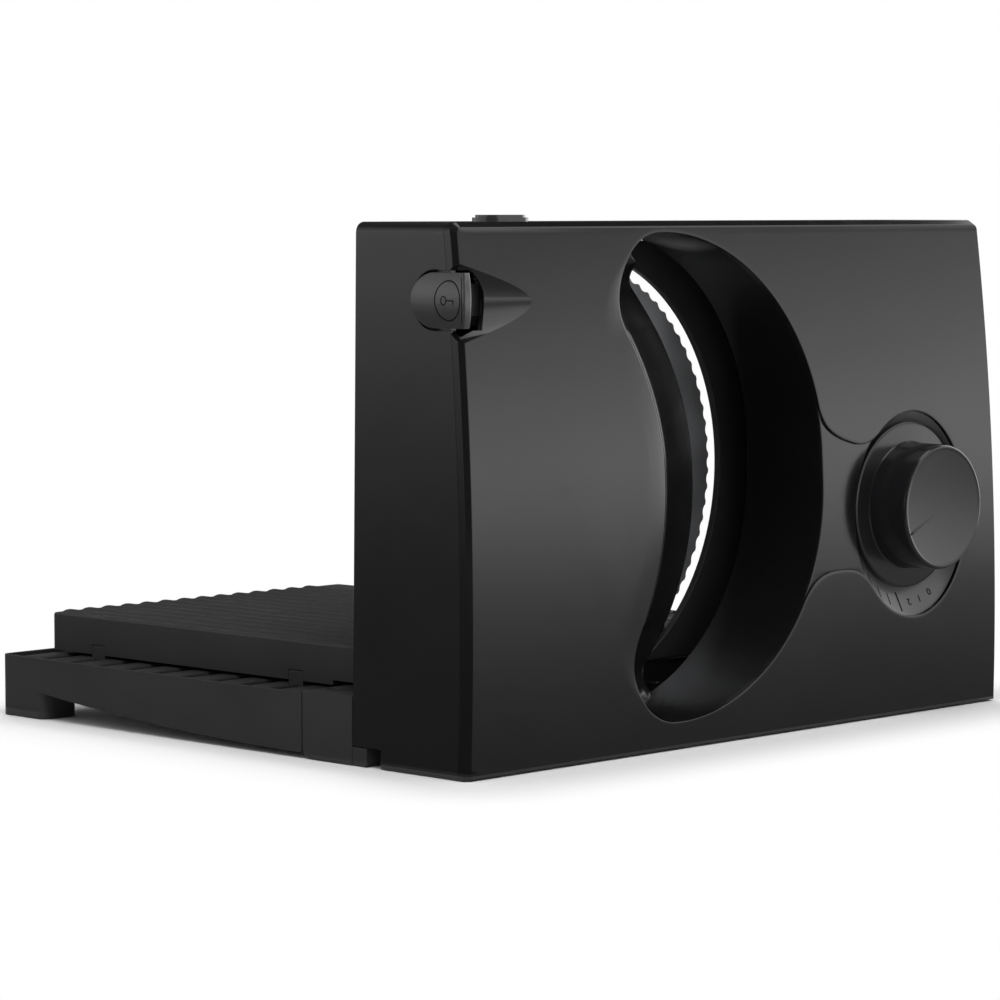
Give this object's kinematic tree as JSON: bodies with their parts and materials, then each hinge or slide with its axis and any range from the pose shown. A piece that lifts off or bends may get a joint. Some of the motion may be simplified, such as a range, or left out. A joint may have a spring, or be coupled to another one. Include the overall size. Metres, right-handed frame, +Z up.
{
  "type": "electric food slicer",
  "caption": "Upright electric food slicer: bowed black housing, toothed round blade behind a crescent opening, thickness knob, ribbed tray and sliding food carriage.",
  "frame": {"origin": "centre of the box round the whole slicer, on the table it stands on", "axes": "+X along the housing to its right side seen from the front, +Y from the knob side to the far end of the tray, +Z up"},
  "size_m": [0.322, 0.287, 0.2075],
  "materials": {
    "cover_black": "glossy black",
    "shell_black": "half gloss black",
    "tray_black": "half gloss black",
    "knob_black": "glossy black",
    "button_black": "glossy black",
    "guide_black": "satin black",
    "blade_steel": "turned and ground stainless",
    "shaft_steel": "ground steel",
    "spring_steel": "drawn wire",
    "screw_steel": "zinc plated",
    "bush_bronze": "sintered bronze",
    "winding": "lacquered copper wire and steel shaft",
    "can_grey": "zinc plated sheet",
    "inner_grey": "moulded grey",
    "inner_white": "natural white moulded",
    "foot_rubber": "matt black rubber"
  },
  "bodies": {
    "housing": {"rear_shell": "shell_black", "front_cover": "cover_black", "exit_lip": "cover_black", "base_block": "tray_black", "tray": "tray_black", "rubber_feet": "foot_rubber", "case_screws": "screw_steel", "base_screws": "screw_steel", "tray_screws": "screw_steel", "motor_can": "can_grey", "motor_cradle": "inner_grey", "worm_support": "inner_grey", "spindle_bush": "bush_bronze", "knob_bush": "inner_white", "guide_rods": "shaft_steel", "power_switch": "inner_grey", "lock_switch": "inner_grey", "terminal_block": "inner_white", "cord_gland": "foot_rubber"},
    "blade": {"blade": "blade_steel", "blade_cap": "button_black", "blade_spindle": "shaft_steel", "drive_gear": "inner_white"},
    "motor": {"armature": "winding", "worm": "shaft_steel", "motor_fan": "inner_white"},
    "knob": {"thickness_knob": "knob_black", "knob_spindle": "inner_white", "knob_clip": "screw_steel"},
    "guide": {"guide_plate": "guide_black", "cam_follower": "inner_white", "cam_pin": "shaft_steel"},
    "carriage": {"carriage": "tray_black", "carriage_runners": "inner_white", "thumb_guard": "tray_black", "guard_screws": "screw_steel"},
    "power": {"power_button": "button_black", "power_spring": "spring_steel"},
    "lock": {"lock_button": "button_black", "lock_spring": "spring_steel"}
  },
  "joints": [
    {"name": "blade_spin", "type": "hinge", "parent": "housing", "child": "blade", "pos_m": [-0.042, -0.0685, 0.105], "axis": [0, 1, 0], "continuous": true},
    {"name": "motor_spin", "type": "hinge", "parent": "housing", "child": "motor", "pos_m": [-0.07865, -0.0935, 0.05], "axis": [0, 0, 1], "continuous": true},
    {"name": "knob_turn", "type": "hinge", "parent": "housing", "child": "knob", "pos_m": [0.105, -0.1295, 0.087], "axis": [0, 1, 0], "range_deg": [-36, 234]},
    {"name": "guide_slide", "type": "slide", "parent": "housing", "child": "guide", "axis": [0, -1, 0], "range_m": [-0.002, 0.013]},
    {"name": "carriage_slide", "type": "slide", "parent": "housing", "child": "carriage", "axis": [1, 0, 0], "range_m": [0, 0.135]},
    {"name": "power_press", "type": "slide", "parent": "housing", "child": "power", "axis": [0, 0, -1], "range_m": [0, 0.0025], "stiffness_N_per_m": 500, "springref_m": -0.001, "deforming": ["power_spring"]},
    {"name": "lock_press", "type": "slide", "parent": "housing", "child": "lock", "axis": [1, 0, 0], "range_m": [0, 0.003], "stiffness_N_per_m": 400, "springref_m": -0.001, "deforming": ["lock_spring"]}
  ],
  "couplings": [
    {"joint": "motor_spin", "follows": "blade_spin", "ratio": -36},
    {"joint": "knob_turn", "follows": "guide_slide", "rad_per_m": 314.16}
  ]
}
